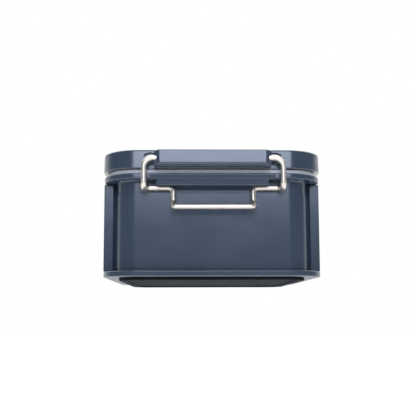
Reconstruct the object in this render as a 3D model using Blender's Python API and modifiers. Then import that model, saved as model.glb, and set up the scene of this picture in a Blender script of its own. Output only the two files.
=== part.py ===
"""Lunch box with a moulded lid, a silicone seal and two stainless wire clips.

Lengths are in millimetres in the constants and become metres when meshes are made.
X is the width, Y the length (front clip towards -Y) and Z is up. The base rests on Z = 0.
"""
import math

import bmesh
import bpy
from mathutils import Vector

MM = 0.001
COLLECTION = "lunch_box"

# overall plan
FLANGE_HALF_X = 55.15
RIM_HALF_X = 55.1
LID_HALF_X = 55.5
FRONT = 71.0
CORNER = 18.0
GAP = 0.3

# tub heights
FOOT_TOP = 1.3
BASE_BOTTOM = 1.6
FLANGE_TOP = 4.3
FLOOR_TOP = 4.6
RIM_BOTTOM = 49.6
RIM_TOP = 52.3

# tub walls
WALL_HALF_X = 48.6
WALL_HALF_Y = 64.8
WALL_CORNER = 11.0
WALL_THICK = 3.0
PANEL_HALF_X = 37.6
PANEL_LOW = 5.4
PANEL_HIGH = 43.3
PANEL_PROUD = 0.3
RECESS_HALF_X = 36.6
RECESS_DEEP = 1.0
RECESS_LOW = 43.6

# foot
FOOT_HALF_X = 47.6
FOOT_HALF_Y = 61.3
FOOT_CORNER = 12.0

# side panels
WING_OUT = 55.3
WING_IN = 48.9
WING_LIP_IN = 50.4
WING_HALF_Y = 53.5
WING_LIP = 1.0

# lid
SKIRT_BOTTOM = 54.8
LID_TOP = 64.3
LID_THICK = 2.2
LINER_BOTTOM = 54.9
LINER_TOP = 56.6
LINER_HALF_X = 50.8
SEAL_HALF_X = 52.5
SEAL_BOTTOM = 52.6
SEAL_TOP = 54.6
PLUG_BOTTOM = 49.8
PLUG_CLEAR = 0.5

# lid boss and its pockets
BOSS_HALF_X = 29.15
BOSS_FACE_HALF_X = 26.45
BOSS_OUT = 6.0
BOSS_BOTTOM = 55.4
BOSS_STEP = 1.1
POCKET_HALF_X = 34.1
POCKET_DEEP = 2.0
POCKET_TOP = 62.9

# catch under the rim
RIM_BOSS_HALF_X = 31.1
RIM_BOSS_OUT = 1.0
CATCH_HALF_X = 27.85
CATCH_OUT = 0.3
CATCH_CEILING = 47.4
CATCH_LIP = 46.15
CATCH_LIP_DEEP = 1.7

# wire clip, measured from its pivot: sideways, inwards, down
WIRE = 2.8
PIVOT_OUT = 3.2
PIVOT_Z = 59.37
HOLE_CLEAR = 0.2
WIRE_END = 25.0
WIRE_SIDEPLAY = 0.4
HOOK_RISE = 1.2
ARM_X = 34.3
LEG_X = 19.87
HOOK_IN = 8.2
HOOK_DOWN = 14.9
LEG_DOWN = 21.4
LEG_IN = 5.6
BAR_DOWN = 23.87
BAR_IN = 2.0
BEND_TOP = 4.3
BEND = 2.6

COLOURS = {
    "satin_navy": ((0.045, 0.065, 0.11), 0.38, 0.0),
    "soft_grey": ((0.48, 0.5, 0.56), 0.55, 0.0),
    "dark_foot": ((0.02, 0.022, 0.027), 0.6, 0.0),
    "stainless": ((0.78, 0.76, 0.73), 0.2, 1.0),
}


def clear_scene():
    for item in list(bpy.data.objects):
        bpy.data.objects.remove(item, do_unlink=True)


def collection(name, hidden=False):
    made = bpy.data.collections.new(name)
    bpy.context.scene.collection.children.link(made)
    made.hide_render = hidden
    return made


def material(name):
    colour, rough, metal = COLOURS[name]
    made = bpy.data.materials.new(name)
    made.use_nodes = True
    shader = made.node_tree.nodes["Principled BSDF"]
    shader.inputs["Base Color"].default_value = (*colour, 1.0)
    shader.inputs["Roughness"].default_value = rough
    shader.inputs["Metallic"].default_value = metal
    return made


def rounded_plan(half_x, half_y, radius, steps=10):
    """Corner points of a rounded rectangle, anticlockwise."""
    points = []
    for turn, sx, sy in ((0, 1, 1), (1, -1, 1), (2, -1, -1), (3, 1, -1)):
        cx = sx * (half_x - radius)
        cy = sy * (half_y - radius)
        for k in range(steps + 1):
            a = math.pi / 2 * (turn + k / steps)
            points.append((cx + radius * math.cos(a), cy + radius * math.sin(a)))
    return points


def put(name, mesh, into, location=(0, 0, 0)):
    thing = bpy.data.objects.new(name, mesh)
    thing.location = Vector(location) * MM
    into.objects.link(thing)
    if into.hide_render:
        thing.hide_render = True
        thing.display_type = "WIRE"
    return thing


def extruded(name, outline, low, high, into, axis="Z"):
    """A closed prism over an outline, from low to high along an axis."""
    order = {"Z": (0, 1, 2), "Y": (0, 2, 1), "X": (2, 0, 1)}[axis]
    shape = bmesh.new()
    rings = []
    for level in (low, high):
        ring = []
        for u, v in outline:
            values = (u, v, level)
            ring.append(shape.verts.new([values[i] * MM for i in order]))
        rings.append(ring)
    shape.faces.new(rings[0])
    shape.faces.new(rings[1])
    count = len(outline)
    for k in range(count):
        n = (k + 1) % count
        shape.faces.new((rings[0][k], rings[0][n], rings[1][n], rings[1][k]))
    bmesh.ops.recalc_face_normals(shape, faces=shape.faces)
    mesh = bpy.data.meshes.new(name)
    shape.to_mesh(mesh)
    shape.free()
    return put(name, mesh, into)


def edge(plan, out, z, radius, start, end, steps=2):
    """Rings round a rounded edge centred at (out, z), from angle start to end in degrees."""
    rings = []
    for k in range(steps + 1):
        a = math.radians(start + (end - start) * k / steps)
        rings.append((plan, out + radius * math.cos(a), z + radius * math.sin(a)))
    return rings


def skin(name, rings, into, closed=False):
    """Joins rings of (plan, outward offset, height) into one closed body."""
    shape = bmesh.new()
    loops = []
    for plan, out, z in rings:
        half_x, half_y, radius = plan
        outline = rounded_plan(half_x + out, half_y + out, radius + out)
        loops.append([shape.verts.new((x * MM, y * MM, z * MM)) for x, y in outline])
    pairs = list(zip(loops, loops[1:]))
    if closed:
        pairs.append((loops[-1], loops[0]))
    else:
        shape.faces.new(loops[0])
        shape.faces.new(loops[-1])
    for low, high in pairs:
        for k in range(len(low)):
            n = (k + 1) % len(low)
            shape.faces.new((low[k], low[n], high[n], high[k]))
    bmesh.ops.recalc_face_normals(shape, faces=shape.faces)
    mesh = bpy.data.meshes.new(name)
    shape.to_mesh(mesh)
    shape.free()
    return put(name, mesh, into)


def box(name, x, y, z, into):
    outline = [(x[0], y[0]), (x[1], y[0]), (x[1], y[1]), (x[0], y[1])]
    return extruded(name, outline, z[0], z[1], into)


def boolean(thing, other, kind):
    step = thing.modifiers.new(kind.lower() + "_" + other.name, "BOOLEAN")
    step.operation = kind
    step.solver = "EXACT"
    step.object = other


def boolean_group(thing, name, others, kind):
    """One Boolean with several separate solids at once."""
    group = bpy.data.collections.new(name)
    CUTTERS.children.link(group)
    group.hide_render = True
    for other in others:
        group.objects.link(other)
    step = thing.modifiers.new(kind.lower() + "_" + name, "BOOLEAN")
    step.operation = kind
    step.solver = "EXACT"
    step.operand_type = "COLLECTION"
    step.collection = group


def bevel(thing, width, segments=2, angle=35):
    step = thing.modifiers.new("edge_bevel", "BEVEL")
    step.width = width * MM
    step.segments = segments
    step.limit_method = "ANGLE"
    step.angle_limit = math.radians(angle)
    step.use_clamp_overlap = True


def mirrored(outline, side):
    """The same outline for the front (side -1) or the rear (side 1)."""
    return [(u, side * v) for u, v in outline]


def weld(thing):
    step = thing.modifiers.new("weld", "WELD")
    step.merge_threshold = 0.02 * MM


def dressed(thing, name):
    thing.data.materials.clear()
    thing.data.materials.append(MATERIALS[name])
    return thing


def make_tub(main, cutters):
    flange = (FLANGE_HALF_X, FRONT, CORNER)
    rim = (RIM_HALF_X, FRONT, CORNER)
    wall = (WALL_HALF_X, WALL_HALF_Y, WALL_CORNER)
    inside = (WALL_HALF_X - WALL_THICK, WALL_HALF_Y - WALL_THICK, WALL_CORNER - WALL_THICK)
    r = 0.45
    rings = edge(flange, -r, BASE_BOTTOM + r, r, -90, 0)
    rings += edge(flange, -r, FLANGE_TOP - r, r, 0, 90)
    rings += [(wall, 0, FLANGE_TOP), (wall, 0, RIM_BOTTOM)]
    rings += edge(rim, -r, RIM_BOTTOM + r, r, -90, 0)
    rings += edge(rim, -r, RIM_TOP - r, r, 0, 90)
    rings += edge(inside, r, RIM_TOP - r, r, 90, 180)
    rings += edge(inside, -2.0, FLOOR_TOP + 2.0, 2.0, 0, -90, 3)
    tub = skin("body_tub", rings, main)
    ends = ((-1, "front"), (1, "rear"))
    recesses = [wire_recess(side, word, cutters) for side, word in ends]
    boolean_group(tub, "tub_recesses", recesses, "DIFFERENCE")
    for kind, maker in (("panels", wall_panel), ("rim_bosses", rim_boss), ("catches", catch)):
        extras = [maker(side, word, cutters) for side, word in ends]
        boolean_group(tub, "tub_" + kind, extras, "UNION")
    weld(tub)
    return dressed(tub, "satin_navy")


def wire_recess(side, word, cutters):
    """The recess under the rim that takes the wire's hook."""
    out = side * (WALL_HALF_Y + 3)
    deep = side * (WALL_HALF_Y - RECESS_DEEP)
    return box(word + "_recess", (-RECESS_HALF_X, RECESS_HALF_X), sorted((out, deep)),
               (RECESS_LOW, RIM_BOTTOM + 0.4), cutters)


def wall_panel(side, word, cutters):
    inside = side * (WALL_HALF_Y - 1.0)
    panel = box(word + "_panel", (-PANEL_HALF_X, PANEL_HALF_X),
                sorted((inside, side * (WALL_HALF_Y + PANEL_PROUD))), (PANEL_LOW, PANEL_HIGH), cutters)
    bevel(panel, 0.25, 1)
    return panel


def rim_boss(side, word, cutters):
    low, high, out = RIM_BOTTOM - 0.25, RIM_TOP - 0.3, FRONT + RIM_BOSS_OUT
    root = FRONT - 4.0
    profile = [
        (root, low), (out - 0.4, low), (out, low + 0.4), (out, high - 0.4), (out - 0.4, high), (root, high),
    ]
    return extruded(word + "_rim_boss", mirrored_profile(profile, side),
                    -RIM_BOSS_HALF_X, RIM_BOSS_HALF_X, cutters, "X")


def catch(side, word, cutters):
    """The block that the wire hooks behind, with a sloping lip."""
    out = FRONT + CATCH_OUT
    root = WALL_HALF_Y - RECESS_DEEP - 0.6
    top = RIM_BOTTOM + 0.8
    profile = [
        (root, CATCH_CEILING), (out - CATCH_LIP_DEEP - 1.0, CATCH_CEILING),
        (out - CATCH_LIP_DEEP, CATCH_LIP + 0.35), (out - 0.5, CATCH_LIP),
        (out, CATCH_LIP + 0.4), (out, top), (root, top),
    ]
    return extruded(word + "_catch", mirrored_profile(profile, side),
                    -CATCH_HALF_X, CATCH_HALF_X, cutters, "X")


def mirrored_profile(profile, side):
    return [(side * u, v) for u, v in profile]


def make_foot(main):
    foot = (FOOT_HALF_X, FOOT_HALF_Y, FOOT_CORNER)
    rings = edge(foot, -0.4, 0.4, 0.4, -90, 0) + [(foot, 0, FOOT_TOP)]
    return dressed(skin("base_foot", rings, main), "dark_foot")


def make_wing(side, word, main):
    """A side panel that stands between the flange and the rim."""
    lip = WING_HALF_Y - WING_LIP
    outline = [
        (side * WING_LIP_IN, -WING_HALF_Y), (side * WING_OUT, -WING_HALF_Y),
        (side * WING_OUT, WING_HALF_Y), (side * WING_LIP_IN, WING_HALF_Y),
        (side * WING_LIP_IN, lip), (side * WING_IN, lip - 0.8),
        (side * WING_IN, -lip + 0.8), (side * WING_LIP_IN, -lip),
    ]
    wing = extruded("side_panel_" + word, outline, FLANGE_TOP + GAP, RIM_BOTTOM - GAP, main)
    bevel(wing, 0.35)
    return dressed(wing, "satin_navy")


def make_lid(main, cutters):
    plan = (LID_HALF_X, FRONT, CORNER)
    inside = -LID_THICK - POCKET_DEEP
    rings = [(plan, inside - 1.0, LID_TOP - LID_THICK), (plan, inside, LID_TOP - LID_THICK - 1.0)]
    rings += [(plan, inside, SKIRT_BOTTOM)]
    rings += edge(plan, -0.4, SKIRT_BOTTOM + 0.4, 0.4, -90, 0)
    rings += edge(plan, -1.2, LID_TOP - 1.2, 1.2, 0, 90, 3)
    lid = skin("lid_shell", rings, main)
    ends = ((-1, "front"), (1, "rear"))
    cuts = [cut for side, word in ends for cut in pockets(side, word, cutters)]
    boolean_group(lid, "lid_pockets", cuts, "DIFFERENCE")
    solids = [lid_boss(side, word, cutters) for side, word in ends]
    for k, (sx, sy) in enumerate(((-1, -1), (1, -1), (-1, 1), (1, 1))):
        solids.append(cylinder(f"lid_post_{k}", 3.0, (sx * 38, sy * 50),
                               (LINER_TOP + GAP, LID_TOP - 1.0), cutters))
    boolean_group(lid, "lid_bosses", solids, "UNION")
    weld(lid)
    return dressed(lid, "satin_navy")


def cylinder(name, radius, centre, span, into, steps=20):
    outline = []
    for k in range(steps):
        a = 2 * math.pi * k / steps
        outline.append((centre[0] + radius * math.cos(a), centre[1] + radius * math.sin(a)))
    return extruded(name, outline, span[0], span[1], into)


def lid_boss(side, word, cutters):
    """The clip's bearing block on the lid: chamfered at the sides and underneath."""
    face = FRONT + BOSS_OUT
    chamfer = BOSS_HALF_X - BOSS_FACE_HALF_X
    plan = [
        (-BOSS_HALF_X, FRONT - 3), (BOSS_HALF_X, FRONT - 3), (BOSS_HALF_X, face - chamfer),
        (BOSS_FACE_HALF_X, face), (-BOSS_FACE_HALF_X, face), (-BOSS_HALF_X, face - chamfer),
    ]
    block = extruded(word + "_lid_boss", mirrored(plan, side), BOSS_BOTTOM, LID_TOP - BOSS_STEP, cutters)
    low = [(face - 1.4, BOSS_BOTTOM - 1), (face + 1, BOSS_BOTTOM - 1), (face + 1, BOSS_BOTTOM + 2.4)]
    under = extruded(word + "_boss_chamfer", mirrored_profile(low, side), -40, 40, cutters, "X")
    boolean(block, under, "DIFFERENCE")
    bevel(block, 0.7, 3, 50)
    boolean_group(block, word + "_holes", bearing_holes(side, word, cutters), "DIFFERENCE")
    return block


def pockets(side, word, cutters):
    """Pockets in the lid's skirt beside the boss, where the wire bends down."""
    cuts = []
    for hand in (-1, 1):
        root = hand * (BOSS_HALF_X - 0.6)
        outer = hand * POCKET_HALF_X
        peak = [
            (root, SKIRT_BOTTOM - 2), (outer, SKIRT_BOTTOM - 2), (outer, POCKET_TOP - 1.0),
            (outer - hand * 3.1, POCKET_TOP), (root, POCKET_TOP - 0.6),
        ]
        low, high = sorted((side * (FRONT - POCKET_DEEP), side * (FRONT + 1)))
        cuts.append(extruded(f"{word}_pocket_{hand}", peak, low, high, cutters, "Y"))
    return cuts


def bearing_holes(side, word, cutters):
    """Blind holes in the boss's sides for the ends of the wire."""
    cuts = []
    for hand in (-1, 1):
        low, high = sorted((hand * (WIRE_END - 0.4), hand * (BOSS_HALF_X + 1)))
        centre = (side * (FRONT + PIVOT_OUT), PIVOT_Z)
        ring = []
        for k in range(16):
            a = 2 * math.pi * (k + 0.5) / 16
            reach = (WIRE / 2 + HOLE_CLEAR) / math.cos(math.pi / 16)
            ring.append((centre[0] + reach * math.cos(a), centre[1] + reach * math.sin(a)))
        cuts.append(extruded(f"{word}_hole_{hand}", ring, low, high, cutters, "X"))
    return cuts


def make_liner(main):
    """The lid's inner plate: a flat rim over the seal and a shallow pan that plugs the tub."""
    plate = (LINER_HALF_X, FRONT - 4.7, CORNER - 4.7)
    inset = WALL_THICK + PLUG_CLEAR
    plug = (WALL_HALF_X - inset, WALL_HALF_Y - inset, WALL_CORNER - inset)
    rings = [(plug, -2.2, PLUG_BOTTOM + 2.2), (plug, -2.2, LINER_TOP)]
    rings += [(plate, -0.3, LINER_TOP), (plate, 0, LINER_TOP - 0.3), (plate, 0, LINER_BOTTOM)]
    rings += [(plug, 0, LINER_BOTTOM)]
    rings += edge(plug, -0.8, PLUG_BOTTOM + 0.8, 0.8, 0, -90)
    return dressed(skin("lid_liner", rings, main), "satin_navy")


def make_seal(main):
    outer = (SEAL_HALF_X, FRONT - 2.8, CORNER - 2.8)
    inset = WALL_THICK + PLUG_CLEAR - GAP
    hole = (WALL_HALF_X - inset, WALL_HALF_Y - inset, WALL_CORNER - inset)
    rings = edge(outer, -0.5, SEAL_BOTTOM + 0.5, 0.5, -90, 0)
    rings += edge(outer, -0.5, SEAL_TOP - 0.5, 0.5, 0, 90)
    rings += [(hole, 0, SEAL_TOP), (hole, 0, SEAL_BOTTOM)]
    return dressed(skin("lid_seal", rings, main, closed=True), "soft_grey")


def rounded_path(corners, radii, steps=6):
    """A path through corners in space, with each inner corner rounded to its radius."""
    path = [Vector(corners[0])]
    for before, here, after, radius in zip(corners, corners[1:], corners[2:], radii):
        before, here, after = Vector(before), Vector(here), Vector(after)
        u = (before - here).normalized()
        v = (after - here).normalized()
        half = u.angle(v) / 2
        reach = radius / math.tan(half)
        centre = here + (u + v).normalized() * (radius / math.sin(half))
        first = here + u * reach - centre
        last = here + v * reach - centre
        turn = first.angle(last)
        for k in range(steps + 1):
            t = k / steps
            a = math.sin((1 - t) * turn) / math.sin(turn)
            b = math.sin(t * turn) / math.sin(turn)
            path.append(centre + first * a + last * b)
    path.append(Vector(corners[-1]))
    return path


def clip_corners(side):
    """One half of the wire's path, from its end in the lid boss to the middle of the bar."""
    def at(x, inwards, down):
        return (x, -side * inwards, -down)
    corners = [
        at(WIRE_END, 0, 0), at(ARM_X, 0, 0), at(ARM_X, 0, HOOK_DOWN),
        at(ARM_X, HOOK_IN, HOOK_DOWN - HOOK_RISE), at(LEG_X, HOOK_IN, HOOK_DOWN - HOOK_RISE),
        at(LEG_X, LEG_IN, LEG_DOWN), at(LEG_X, BAR_IN, BAR_DOWN),
        at(0, BAR_IN, BAR_DOWN),
    ]
    return corners, [BEND_TOP, BEND, BEND, BEND, 1.9, 1.6]


def make_clip(side, word, main):
    corners, radii = clip_corners(side)
    half = rounded_path(corners, radii)[:-1]
    path = half + [Vector((-p.x, p.y, p.z)) for p in reversed(half)]
    curve = bpy.data.curves.new("clip_" + word + "_path", "CURVE")
    curve.dimensions = "3D"
    curve.bevel_depth = WIRE / 2 * MM
    curve.bevel_resolution = 2
    curve.use_fill_caps = True
    line = curve.splines.new("POLY")
    line.points.add(len(path) - 1)
    for point, p in zip(line.points, path):
        point.co = (p.x * MM, p.y * MM, p.z * MM, 1)
    clip = bpy.data.objects.new("clip_" + word, curve)
    clip.location = Vector((WIRE_SIDEPLAY, side * (FRONT + PIVOT_OUT), PIVOT_Z)) * MM
    curve.materials.append(MATERIALS["stainless"])
    main.objects.link(clip)
    return clip


clear_scene()
MATERIALS = {word: material(word) for word in COLOURS}
MAIN = collection(COLLECTION)
CUTTERS = collection("cutters", hidden=True)
make_tub(MAIN, CUTTERS)
make_foot(MAIN)
make_wing(-1, "left", MAIN)
make_wing(1, "right", MAIN)
make_lid(MAIN, CUTTERS)
make_liner(MAIN)
make_seal(MAIN)
make_clip(-1, "front", MAIN)
make_clip(1, "rear", MAIN)
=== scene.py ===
"""Looks for the lunch box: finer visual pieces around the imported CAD, materials, light and camera.

Lengths are in millimetres, as in the part's source, and become metres when meshes are made.
X is the width, Y the length with the front clip towards -Y, and Z is up.
"""
import math

import bmesh
import bpy
from mathutils import Matrix, Vector


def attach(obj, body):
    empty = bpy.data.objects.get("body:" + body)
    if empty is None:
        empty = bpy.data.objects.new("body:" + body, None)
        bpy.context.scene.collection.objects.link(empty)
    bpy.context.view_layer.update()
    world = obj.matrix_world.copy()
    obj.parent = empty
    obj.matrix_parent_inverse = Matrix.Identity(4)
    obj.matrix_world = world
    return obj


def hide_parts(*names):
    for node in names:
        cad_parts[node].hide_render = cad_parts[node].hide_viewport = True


MM = 0.001
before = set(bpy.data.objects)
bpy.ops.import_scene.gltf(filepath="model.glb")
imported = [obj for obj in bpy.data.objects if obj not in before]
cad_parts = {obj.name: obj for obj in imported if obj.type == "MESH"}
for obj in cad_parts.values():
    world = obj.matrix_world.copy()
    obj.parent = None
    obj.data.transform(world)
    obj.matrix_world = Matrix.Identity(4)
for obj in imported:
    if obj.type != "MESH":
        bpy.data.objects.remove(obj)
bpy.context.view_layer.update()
SCENE = bpy.context.scene

# plans as half width, half length, corner radius
FLANGE = (55.12, 70.98, 18.0)
RIM = (55.07, 70.98, 18.0)
WALL = (48.57, 64.78, 11.0)
CAVITY = (45.63, 61.83, 8.0)
FOOT = (47.57, 61.28, 12.0)
LID = (55.47, 70.98, 18.0)
LINER = (50.77, 66.27, 13.3)
PLUG = (45.07, 61.27, 7.5)
SEAL = (52.47, 68.17, 15.2)
SEAL_HOLE = (45.43, 61.63, 7.8)
CORNER_STEPS = 28
ENDS = ((-1, "front"), (1, "rear"))

# heights
FOOT_TOP = 1.28
BASE_BOTTOM = 1.62
FLANGE_TOP = 4.28
FIELD_LOW = 5.42
FIELD_HIGH = 43.28
FLOOR_TOP = 4.62
RIM_BOTTOM = 49.62
RIM_TOP = 52.28
PLUG_BOTTOM = 49.82
SEAL_BOTTOM = 52.62
SEAL_TOP = 54.68
SKIRT_BOTTOM = 54.82
LINER_BOTTOM = 54.92
LINER_TOP = 56.58
LID_CEILING = 62.12
LID_TOP = 64.28

# end details
RECESS_HALF_X = 36.58
RECESS_LOW = 43.6
RAIL_HALF_X = 31.08
RAIL_FACE = 71.98
CATCH_HALF_X = 27.83
MOULD_LINE_X = -0.43
WING_HALF_Y = 53.48
WING_OUT = 55.28
WING_LIP_IN = 50.42
WING_IN = 48.92
BOSS_HALF_X = 29.13
BOSS_FACE_HALF_X = 26.43
BOSS_FACE = 76.98
BOSS_BOTTOM = 55.42
BOSS_TOP = 63.18

# wire clips
PIVOT_Y = 74.2
PIVOT_Z = 59.37
HOLE_RADIUS = 1.6
WIRE_RADIUS = 1.39
SIDEPLAY = 0.4
ARM_X = 34.3
LEG_X = 19.87
BEND_RADII = [4.3, 2.6, 2.6, 2.6, 1.9, 1.6]

# finish and stage, the stage in metres
UNDERSIDE_ROUGHER = 0.25
FLOOR_HALF = 2.6
FLOOR_Z = -0.1


# ---------------------------------------------------------------- mesh helpers

def to_object(name, shape):
    bmesh.ops.recalc_face_normals(shape, faces=shape.faces)
    mesh = bpy.data.meshes.new(name)
    shape.to_mesh(mesh)
    shape.free()
    thing = bpy.data.objects.new(name, mesh)
    SCENE.collection.objects.link(thing)
    return thing


def plan_points(plan, out=0.0, steps=CORNER_STEPS):
    """Rounded rectangle, moved outwards by out, with extra points along its straight sides."""
    half_x, half_y, radius = plan
    half_x, half_y, radius = half_x + out, half_y + out, max(radius + out, 0.3)
    points = []
    for turn, sx, sy in ((0, 1, 1), (1, -1, 1), (2, -1, -1), (3, 1, -1)):
        cx, cy = sx * (half_x - radius), sy * (half_y - radius)
        for k in range(steps + 1):
            a = math.pi / 2 * (turn + k / steps)
            points.append((cx + radius * math.cos(a), cy + radius * math.sin(a)))
    return points


def arc(plan, out, z, radius, start, end, steps=5):
    """Rings round a fillet whose centre is at (out, z), from angle start to end in degrees."""
    rings = []
    for k in range(steps + 1):
        a = math.radians(start + (end - start) * k / steps)
        rings.append((plan, out + radius * math.cos(a), z + radius * math.sin(a)))
    return rings


def loft(name, rings, closed=False):
    """Skins rings of (plan, out, z). Open lofts get flat caps; closed ones join end to end."""
    shape = bmesh.new()
    loops = []
    for plan, out, z in rings:
        loops.append([shape.verts.new((x * MM, y * MM, z * MM)) for x, y in plan_points(plan, out)])
    pairs = list(zip(loops, loops[1:]))
    if closed:
        pairs.append((loops[-1], loops[0]))
    for low, high in pairs:
        count = len(low)
        for k in range(count):
            n = (k + 1) % count
            shape.faces.new((low[k], low[n], high[n], high[k]))
    if not closed:
        shape.faces.new(loops[0])
        shape.faces.new(loops[-1])
    return to_object(name, shape)


def prism(name, outline, low, high, axis):
    """A closed prism over an outline. Axis X takes (y, z) points, Y takes (x, z), Z takes (x, y)."""
    order = {"Z": (0, 1, 2), "Y": (0, 2, 1), "X": (2, 0, 1)}[axis]
    shape = bmesh.new()
    ends = []
    for level in (low, high):
        ends.append([shape.verts.new([(u, v, level)[i] * MM for i in order]) for u, v in outline])
    shape.faces.new(ends[0])
    shape.faces.new(ends[1])
    count = len(outline)
    for k in range(count):
        n = (k + 1) % count
        shape.faces.new((ends[0][k], ends[0][n], ends[1][n], ends[1][k]))
    return to_object(name, shape)


def bevelled(thing, width, segments=3, angle=30):
    step = thing.modifiers.new("bevel", "BEVEL")
    step.width = width * MM
    step.segments = segments
    step.limit_method = "ANGLE"
    step.angle_limit = math.radians(angle)
    step.harden_normals = False
    return thing


def cut(thing, other, kind="DIFFERENCE"):
    step = thing.modifiers.new("cut", "BOOLEAN")
    step.operation = kind
    step.solver = "EXACT"
    step.object = other
    settle(thing)
    bpy.data.objects.remove(other)


def settle(thing):
    """Applies the modifiers to the mesh."""
    graph = bpy.context.evaluated_depsgraph_get()
    mesh = bpy.data.meshes.new_from_object(thing.evaluated_get(graph))
    thing.modifiers.clear()
    thing.data = mesh
    return thing


def smooth(thing, angle=32):
    """Smooth shading that breaks at edges sharper than angle, with large faces kept flat."""
    settle(thing)
    shape = bmesh.new()
    shape.from_mesh(thing.data)
    bmesh.ops.remove_doubles(shape, verts=shape.verts, dist=2e-7)
    for face in shape.faces:
        face.smooth = True
    for edge in shape.edges:
        sharp = len(edge.link_faces) == 2 and edge.calc_face_angle(0) > math.radians(angle)
        edge.smooth = not sharp
    shape.to_mesh(thing.data)
    shape.free()
    step = thing.modifiers.new("weighted", "WEIGHTED_NORMAL")
    step.keep_sharp = True
    step.weight = 80
    return thing


# ---------------------------------------------------------------- materials

def nodes_of(name):
    made = bpy.data.materials.new(name)
    made.use_nodes = True
    tree = made.node_tree
    return made, tree, tree.nodes["Principled BSDF"]


def noise(tree, scale, detail=4.0, stretch=(1, 1, 1), rough=0.5):
    where = tree.nodes.new("ShaderNodeTexCoord")
    mapping = tree.nodes.new("ShaderNodeMapping")
    mapping.inputs["Scale"].default_value = stretch
    tree.links.new(where.outputs["Object"], mapping.inputs["Vector"])
    made = tree.nodes.new("ShaderNodeTexNoise")
    made.inputs["Scale"].default_value = scale
    made.inputs["Detail"].default_value = detail
    made.inputs["Roughness"].default_value = rough
    tree.links.new(mapping.outputs["Vector"], made.inputs["Vector"])
    return made.outputs["Fac"]


def ramp(tree, fac, stops):
    made = tree.nodes.new("ShaderNodeValToRGB")
    while len(made.color_ramp.elements) < len(stops):
        made.color_ramp.elements.new(0.5)
    for element, (place, colour) in zip(made.color_ramp.elements, stops):
        element.position = place
        element.color = (*colour, 1.0)
    tree.links.new(fac, made.inputs["Fac"])
    return made.outputs["Color"]


def spread(tree, fac, low, high):
    made = tree.nodes.new("ShaderNodeMapRange")
    made.inputs["From Min"].default_value = 0.3
    made.inputs["From Max"].default_value = 0.7
    made.inputs["To Min"].default_value = low
    made.inputs["To Max"].default_value = high
    tree.links.new(fac, made.inputs["Value"])
    return made.outputs["Result"]


def bump(tree, shader, height, strength, distance, before=None):
    made = tree.nodes.new("ShaderNodeBump")
    made.inputs["Strength"].default_value = strength
    made.inputs["Distance"].default_value = distance
    tree.links.new(height, made.inputs["Height"])
    if before is not None:
        tree.links.new(before, made.inputs["Normal"])
    tree.links.new(made.outputs["Normal"], shader.inputs["Normal"])
    return made.outputs["Normal"]


def rougher_underside(tree, amount):
    """Extra roughness on the flange's underside, which is duller than the walls."""
    where = tree.nodes.new("ShaderNodeTexCoord")
    split = tree.nodes.new("ShaderNodeSeparateXYZ")
    tree.links.new(where.outputs["Object"], split.inputs["Vector"])
    made = tree.nodes.new("ShaderNodeMapRange")
    made.inputs["From Min"].default_value = 1.65 * MM
    made.inputs["From Max"].default_value = 1.9 * MM
    made.inputs["To Min"].default_value = amount
    made.inputs["To Max"].default_value = 0.0
    tree.links.new(split.outputs["Z"], made.inputs["Value"])
    return made.outputs["Result"]


def moulded_plastic(name, dark, light, rough_low, rough_high, grain=0.25):
    """Satin moulded plastic: slow colour drift, a fine spark-eroded grain, faint handling marks."""
    made, tree, shader = nodes_of(name)
    drift = noise(tree, 38.0, 3.0)
    tree.links.new(ramp(tree, drift, [(0.32, dark), (0.68, light)]), shader.inputs["Base Color"])
    handling = noise(tree, 60.0, 6.0, (1.0, 0.6, 1.6), 0.6)
    total = tree.nodes.new("ShaderNodeMath")
    total.operation = "ADD"
    tree.links.new(spread(tree, handling, rough_low, rough_high), total.inputs[0])
    tree.links.new(rougher_underside(tree, UNDERSIDE_ROUGHER), total.inputs[1])
    tree.links.new(total.outputs["Value"], shader.inputs["Roughness"])
    first = bump(tree, shader, noise(tree, 2600.0, 2.0), grain, 0.00001)
    bump(tree, shader, noise(tree, 55.0, 2.0), 0.06, 0.0004, first)
    shader.inputs["Specular IOR Level"].default_value = 0.95
    return made


def silicone(name):
    made, tree, shader = nodes_of(name)
    drift = noise(tree, 90.0, 4.0)
    colours = [(0.3, (0.80, 0.80, 0.84)), (0.7, (0.86, 0.86, 0.9))]
    tree.links.new(ramp(tree, drift, colours), shader.inputs["Base Color"])
    tree.links.new(spread(tree, noise(tree, 150.0), 0.42, 0.58), shader.inputs["Roughness"])
    bump(tree, shader, noise(tree, 1800.0, 2.0), 0.2, 0.00003)
    return made


def drawn_steel(name):
    """Bright drawn wire: faint draw lines along it, small scuffs, slightly warm."""
    made, tree, shader = nodes_of(name)
    drift = noise(tree, 90.0, 3.0)
    colours = [(0.3, (0.86, 0.79, 0.69)), (0.7, (0.92, 0.85, 0.75))]
    tree.links.new(ramp(tree, drift, colours), shader.inputs["Base Color"])
    shader.inputs["Metallic"].default_value = 1.0
    scuffs = noise(tree, 260.0, 4.0, (0.3, 1, 1), 0.55)
    tree.links.new(spread(tree, scuffs, 0.34, 0.42), shader.inputs["Roughness"])
    bump(tree, shader, noise(tree, 700.0, 2.0, (0.15, 1, 1)), 0.08, 0.00001)
    return made


NAVY = moulded_plastic("navy_satin", (0.034, 0.056, 0.086), (0.038, 0.062, 0.095), 0.17, 0.22)
INNER = moulded_plastic("navy_inside", (0.024, 0.043, 0.064), (0.028, 0.049, 0.072), 0.36, 0.48)
BLACK = moulded_plastic("foot_black", (0.012, 0.016, 0.020), (0.018, 0.023, 0.029), 0.62, 0.8, 0.4)
BLACK.node_tree.nodes["Principled BSDF"].inputs["Specular IOR Level"].default_value = 0.1
GREY = silicone("seal_grey")
STEEL = drawn_steel("wire_steel")


def dress(thing, paint, body, replaced):
    thing.data.materials.clear()
    thing.data.materials.append(paint)
    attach(thing, body)
    if replaced:
        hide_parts(*replaced)
    return thing


# ---------------------------------------------------------------- tub

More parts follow.
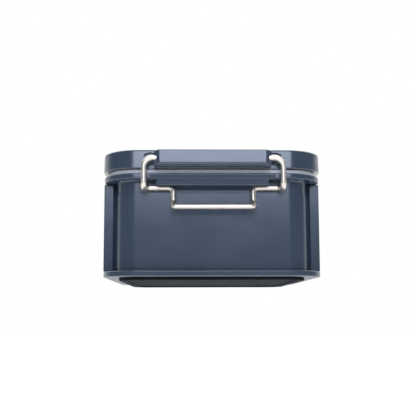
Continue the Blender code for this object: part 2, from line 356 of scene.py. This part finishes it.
def tub_shell():
    """Base, flange, recessed wall with its raised field, rim and cavity in one skin."""
    rings = [(FOOT, -8.0, BASE_BOTTOM), (FLANGE, -1.2, BASE_BOTTOM)]
    rings += arc(FLANGE, -0.3, BASE_BOTTOM + 0.3, 0.3, -90, 0)
    rings += arc(FLANGE, -0.45, FLANGE_TOP - 0.45, 0.45, 0, 90)
    rings += [(WALL, 0.12, FLANGE_TOP), (WALL, 0.0, FLANGE_TOP + 0.12), (WALL, 0.0, FIELD_LOW)]
    rings += arc(WALL, 0.04, FIELD_LOW + 0.24, 0.24, -90, 0, 3)
    rings += arc(WALL, 0.04, FIELD_HIGH - 0.24, 0.24, 0, 90, 3)
    rings += [(WALL, 0.0, FIELD_HIGH + 0.04), (WALL, 0.0, RIM_BOTTOM - 0.32), (WALL, 0.25, RIM_BOTTOM)]
    rings += arc(RIM, -0.45, RIM_BOTTOM + 0.45, 0.45, -90, 0)
    rings += arc(RIM, -0.45, RIM_TOP - 0.45, 0.45, 0, 90)
    rings += arc(CAVITY, 0.45, RIM_TOP - 0.45, 0.45, 90, 180, 4)
    rings += arc(CAVITY, -2.0, FLOOR_TOP + 2.0, 2.0, 0, -90, 6)
    return loft("tub_shell", rings)


def mould_line(side, word):
    """The faint parting line down the middle of the end wall."""
    low, high = sorted((side * 64.5, side * 65.1))
    left, right = MOULD_LINE_X - 0.07, MOULD_LINE_X + 0.07
    outline = [(left, 6.4), (right, 6.4), (right, 40.0), (left, 40.0)]
    return prism(word + "_mould_line", outline, low, high, "Y")


def wire_recess(side):
    """The recess above the panel, where the wire's hook sits."""
    low, high = sorted((side * 63.82, side * 68.0))
    left, right = -RECESS_HALF_X, RECESS_HALF_X
    outline = [(left, RECESS_LOW), (right, RECESS_LOW), (right, 50.0), (left, 50.0)]
    return prism("recess", outline, low, high, "Y")


def end_rail(side, word):
    """The rim's raised middle, with a slightly drafted face and bevelled edges."""
    low, high, back = RIM_BOTTOM - 0.25, RIM_TOP - 0.3, 67.0
    outline = [(back, low), (RAIL_FACE - 0.22, low), (RAIL_FACE, high), (back, high)]
    rail = prism(word + "_rail", [(side * u, v) for u, v in outline], -RAIL_HALF_X, RAIL_HALF_X, "X")
    return bevelled(rail, 0.42, 4)


def catch_block(side, word):
    """The catch under the rim, with a sloping lip in front of the wire's hook."""
    outline = [
        (63.4, 47.42), (68.6, 47.42), (69.6, 46.52), (70.6, 46.17),
        (70.98, 46.5), (71.28, 50.0), (63.4, 50.0),
    ]
    outline = [(side * u, v) for u, v in outline]
    block = prism(word + "_catch_block", outline, -CATCH_HALF_X, CATCH_HALF_X, "X")
    return bevelled(block, 0.16, 2)


def build_tub():
    shell = tub_shell()
    for side in (-1, 1):
        cut(shell, wire_recess(side))
    parts = [smooth(shell)]
    for side, word in ENDS:
        parts.append(smooth(mould_line(side, word)))
        parts.append(smooth(end_rail(side, word)))
        parts.append(smooth(catch_block(side, word)))
    dress(parts[0], NAVY, "tub", ["body_tub"])
    for part in parts[1:]:
        dress(part, NAVY, "tub", [])


def build_wings():
    for hand, word in ((-1, "left"), (1, "right")):
        outline = [
            (WING_LIP_IN, -WING_HALF_Y), (WING_OUT, -WING_HALF_Y),
            (WING_OUT, WING_HALF_Y), (WING_LIP_IN, WING_HALF_Y),
            (WING_LIP_IN, 52.5), (WING_IN, 51.7), (WING_IN, -51.7), (WING_LIP_IN, -52.5),
        ]
        outline = [(hand * u, v) for u, v in outline]
        wing = prism("wing_" + word, outline, FLANGE_TOP + 0.34, RIM_BOTTOM - 0.34, "Z")
        smooth(bevelled(wing, 0.4, 4))
        dress(wing, NAVY, "tub", ["side_panel_" + word])


def build_foot():
    rings = [(FOOT, -7.0, 0.9), (FOOT, -4.3, 0.9), (FOOT, -4.0, 0.8)]
    rings += [(FOOT, -3.6, 0.1), (FOOT, -3.4, 0.02)]
    rings += arc(FOOT, -0.4, 0.4, 0.4, -90, 0)
    rings += [(FOOT, 0.0, FOOT_TOP - 0.08), (FOOT, -0.1, FOOT_TOP)]
    foot = smooth(loft("foot_pad", rings))
    dress(foot, BLACK, "tub", ["base_foot"])


# ---------------------------------------------------------------- lid

def lid_skin():
    """The lid's shell: hollow inside, with a small draft on its skirt and a rounded top edge."""
    rings = [(LID, -20.0, LID_CEILING), (LID, -5.2, LID_CEILING), (LID, -4.18, LID_CEILING - 1.02)]
    rings += [(LID, -4.18, SKIRT_BOTTOM), (LID, -2.2, SKIRT_BOTTOM)]
    rings += arc(LID, -0.4, SKIRT_BOTTOM + 0.4, 0.4, -90, 0, 4)
    rings += arc(LID, -1.45, LID_TOP - 1.25, 1.25, 2, 90, 8)
    rings += [(LID, -14.0, LID_TOP)]
    return loft("lid_skin", rings)


def pocket(side, hand, word):
    """A recess in the skirt beside the boss, with a peaked top."""
    outline = [(28.4, 52.8), (34.08, 52.8), (34.08, 61.9), (31.0, 62.88), (28.4, 62.2)]
    low, high = sorted((side * 69.02, side * 72.0))
    return prism(f"{word}_pocket", [(hand * u, v) for u, v in outline], low, high, "Y")


def boss_block(side, word):
    """The clip's bearing block: flat face, chamfered cheeks, undercut below."""
    cheek = BOSS_FACE - (BOSS_HALF_X - BOSS_FACE_HALF_X)
    half = [(BOSS_HALF_X, 68.2), (BOSS_HALF_X, cheek), (BOSS_FACE_HALF_X, BOSS_FACE)]
    plan = half + [(-u, v) for u, v in reversed(half)]
    block = prism(word + "_boss", [(u, side * v) for u, v in plan], BOSS_BOTTOM, BOSS_TOP, "Z")
    under = [(75.6, 54.4), (76.96, 56.33), (76.72, 64.5), (78.5, 64.5), (78.5, 54.4)]
    cut(block, prism("under", [(side * u, v) for u, v in under], -40, 40, "X"))
    settle(bevelled(block, 0.7, 5, 25))
    for hand in (-1, 1):
        ring = []
        for k in range(32):
            a = 2 * math.pi * k / 32
            ring.append((side * PIVOT_Y + HOLE_RADIUS * math.cos(a), PIVOT_Z + HOLE_RADIUS * math.sin(a)))
        low, high = sorted((hand * 24.6, hand * 30.0))
        cut(block, prism("bearing", ring, low, high, "X"))
    return block


def build_lid():
    skin = lid_skin()
    for side, word in ENDS:
        for hand in (-1, 1):
            cut(skin, pocket(side, hand, word))
    dress(smooth(skin), NAVY, "lid", ["lid_shell"])
    for side, word in ENDS:
        dress(smooth(boss_block(side, word)), NAVY, "lid", [])


def build_liner_and_seal():
    rings = [(PLUG, -12.0, PLUG_BOTTOM), (PLUG, -0.9, PLUG_BOTTOM)]
    rings += arc(PLUG, -0.8, PLUG_BOTTOM + 0.8, 0.8, -90, 0)
    rings += [(PLUG, 0.0, LINER_BOTTOM), (LINER, -0.3, LINER_BOTTOM)]
    rings += arc(LINER, -0.3, LINER_BOTTOM + 0.3, 0.3, -90, 0, 3)
    rings += [(LINER, 0.0, LINER_TOP - 0.28), (LINER, -0.28, LINER_TOP)]
    dress(smooth(loft("liner_plate", rings)), INNER, "lid", ["lid_liner"])
    rings = arc(SEAL, -0.5, SEAL_BOTTOM + 0.5, 0.5, -90, 0, 4)
    rings += arc(SEAL, -0.4, SEAL_TOP - 0.4, 0.4, 0, 90, 4)
    rings += arc(SEAL_HOLE, 0.3, SEAL_TOP - 0.3, 0.3, 90, 180, 3)
    rings += arc(SEAL_HOLE, 0.3, SEAL_BOTTOM + 0.3, 0.3, 180, 270, 3)
    dress(smooth(loft("seal_ring", rings, closed=True)), GREY, "lid", ["lid_seal"])


# ---------------------------------------------------------------- wire clips

def rounded_path(corners, radii, steps=12):
    path = [Vector(corners[0])]
    for before, here, after, radius in zip(corners, corners[1:], corners[2:], radii):
        before, here, after = Vector(before), Vector(here), Vector(after)
        u, v = (before - here).normalized(), (after - here).normalized()
        half = u.angle(v) / 2
        centre = here + (u + v).normalized() * (radius / math.sin(half))
        first = here + u * (radius / math.tan(half)) - centre
        last = here + v * (radius / math.tan(half)) - centre
        turn = first.angle(last)
        for k in range(steps + 1):
            t = k / steps
            a = math.sin((1 - t) * turn) / math.sin(turn)
            b = math.sin(t * turn) / math.sin(turn)
            path.append(centre + first * a + last * b)
    path.append(Vector(corners[-1]))
    return path


def tube(name, path, radius, sides=28):
    """A round wire along a path, carried along with no twist, with flat caps at its ends."""
    shape = bmesh.new()
    normal = None
    loops = []
    count = len(path)
    for k, point in enumerate(path):
        ahead = (path[min(k + 1, count - 1)] - path[max(k - 1, 0)]).normalized()
        if normal is None:
            normal = ahead.orthogonal().normalized()
        normal = (normal - ahead * normal.dot(ahead)).normalized()
        other = ahead.cross(normal)
        loop = []
        for n in range(sides):
            a = 2 * math.pi * n / sides
            aside = (normal * math.cos(a) + other * math.sin(a)) * radius
            loop.append(shape.verts.new((point + aside) * MM))
        loops.append(loop)
    for low, high in zip(loops, loops[1:]):
        for n in range(sides):
            m = (n + 1) % sides
            shape.faces.new((low[n], low[m], high[m], high[n]))
    shape.faces.new(loops[0])
    shape.faces.new(loops[-1])
    return to_object(name, shape)


def build_clip(side, word):
    def at(x, inwards, down):
        return (x, side * (PIVOT_Y - inwards), PIVOT_Z - down)
    corners = [
        at(25.0, 0, 0), at(ARM_X, 0, 0), at(ARM_X, 0, 14.9), at(ARM_X, 8.2, 13.7),
        at(LEG_X, 8.2, 13.7), at(LEG_X, 5.6, 21.4), at(LEG_X, 2.0, 23.87), at(0, 2.0, 23.87),
    ]
    half = rounded_path(corners, BEND_RADII)[:-1]
    path = half + [Vector((-p.x, p.y, p.z)) for p in reversed(half)]
    path = [p + Vector((SIDEPLAY, 0, 0)) for p in path]
    wire = smooth(tube("wire_" + word, path, WIRE_RADIUS), 50)
    dress(wire, STEEL, word + "_clip", ["clip_" + word])


# ---------------------------------------------------------------- stage, light, camera

def build_stage():
    shape = bmesh.new()
    corners = [(x * FLOOR_HALF, y * FLOOR_HALF, FLOOR_Z) for x, y in ((-1, -1), (1, -1), (1, 1), (-1, 1))]
    shape.faces.new([shape.verts.new(corner) for corner in corners])
    floor = to_object("floor", shape)
    made, tree, shader = nodes_of("floor_pale")
    tree.links.new(ramp(tree, noise(tree, 3.0), [(0.3, (0.9, 0.9, 0.9)), (0.7, (0.93, 0.93, 0.93))]),
                   shader.inputs["Base Color"])
    shader.inputs["Roughness"].default_value = 0.8
    floor.data.materials.append(made)


def area(name, place, target, size, power, colour=(1, 1, 1)):
    lamp = bpy.data.lights.new(name, "AREA")
    lamp.shape = "RECTANGLE"
    lamp.size, lamp.size_y = size
    lamp.energy = power
    lamp.color = colour
    thing = bpy.data.objects.new(name, lamp)
    thing.location = place
    thing.rotation_euler = (Vector(target) - Vector(place)).to_track_quat("-Z", "Y").to_euler()
    thing.visible_camera = False
    SCENE.collection.objects.link(thing)
    return thing


def build_world():
    """White studio behind the box, with dim sides and front so that its faces keep their depth."""
    world = bpy.data.worlds.new("studio")
    SCENE.world = world
    world.use_nodes = True
    tree = world.node_tree
    back = tree.nodes["Background"]
    where = tree.nodes.new("ShaderNodeTexCoord")
    split = tree.nodes.new("ShaderNodeSeparateXYZ")
    tree.links.new(where.outputs["Generated"], split.inputs["Vector"])
    fade = tree.nodes.new("ShaderNodeMapRange")
    fade.interpolation_type = "SMOOTHSTEP"
    fade.inputs["From Min"].default_value = 0.1
    fade.inputs["From Max"].default_value = 0.7
    fade.inputs["To Min"].default_value = 0.17
    fade.inputs["To Max"].default_value = 1.0
    tree.links.new(split.outputs["Y"], fade.inputs["Value"])
    tree.links.new(fade.outputs["Result"], back.inputs["Strength"])
    back.inputs["Color"].default_value = (1.0, 1.0, 1.0, 1.0)


def build_camera():
    lens = bpy.data.cameras.new("camera")
    lens.sensor_width = 36.0
    lens.lens = 67.19
    lens.clip_start, lens.clip_end = 0.01, 50.0
    eye = bpy.data.objects.new("camera", lens)
    SCENE.collection.objects.link(eye)
    yaw, pitch, roll = math.radians(1.29), math.radians(7.576), math.radians(-0.158)
    ahead = Vector((math.sin(yaw) * math.cos(pitch), math.cos(yaw) * math.cos(pitch), math.sin(pitch)))
    turn = ahead.to_track_quat("-Z", "Y").to_matrix().to_4x4() @ Matrix.Rotation(roll, 4, "Z")
    eye.matrix_world = Matrix.Translation((-0.01089, -0.44957, -0.01548)) @ turn
    SCENE.camera = eye


build_tub()
build_wings()
build_foot()
build_lid()
build_liner_and_seal()
build_clip(-1, "front")
build_clip(1, "rear")
build_stage()
build_world()
area("softbox", (0.0, -1.17, 0.67), (0, -0.07, 0.67), (0.76, 0.84), 10.5, (0.72, 0.80, 1.0))
area("overhead", (0.0, 1.4, 1.7), (0, 1.4, 0.0), (4.5, 3.2), 86.0)
build_camera()
SCENE.view_settings.view_transform = "Standard"
